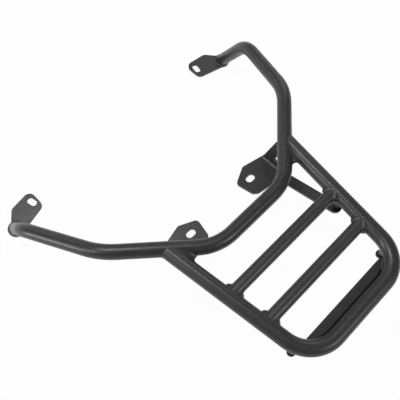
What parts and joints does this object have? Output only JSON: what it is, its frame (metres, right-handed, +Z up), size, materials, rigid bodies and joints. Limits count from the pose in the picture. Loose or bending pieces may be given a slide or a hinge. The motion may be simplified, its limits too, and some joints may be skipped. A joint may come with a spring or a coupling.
{
  "type": "motorcycle luggage rack",
  "caption": "Tubular rear luggage rack for a motorcycle: a bent grab rail with legs, a rear hoop with crossbars, and slotted plates that bolt to the frame.",
  "frame": {"origin": "midway between the two middle slots, on the underside of the middle seats", "axes": "+X to the rider's right, +Y forward, +Z up"},
  "size_m": [0.449, 0.4598, 0.1361],
  "materials": {
    "tube_coat": "satin black powder coat with a fine texture, on steel tube",
    "sheet_coat": "satin black powder coat on steel sheet",
    "pin_coat": "satin black powder coat on round steel bar",
    "weld_coat": "satin black powder coat over a weld bead",
    "cap_plastic": "glossy black moulded plastic"
  },
  "bodies": {
    "root": {"grab_rail": "tube_coat", "rear_hoop": "tube_coat", "front_crossbar": "tube_coat", "rear_crossbar": "tube_coat", "rear_plate": "sheet_coat", "left_front_tab": "sheet_coat", "right_front_tab": "sheet_coat", "left_mid_bracket": "sheet_coat", "right_mid_bracket": "sheet_coat", "left_strap_spacer": "pin_coat", "right_strap_spacer": "pin_coat", "left_support_peg": "pin_coat", "right_support_peg": "pin_coat", "left_cope_weld": "weld_coat", "right_cope_weld": "weld_coat", "left_front_crossbar_weld": "weld_coat", "right_front_crossbar_weld": "weld_coat", "left_rear_crossbar_weld": "weld_coat", "right_rear_crossbar_weld": "weld_coat", "left_leg_weld": "weld_coat", "right_leg_weld": "weld_coat", "left_spacer_weld": "weld_coat", "right_spacer_weld": "weld_coat", "left_ball_cap": "cap_plastic", "right_ball_cap": "cap_plastic"}
  },
  "joints": []
}
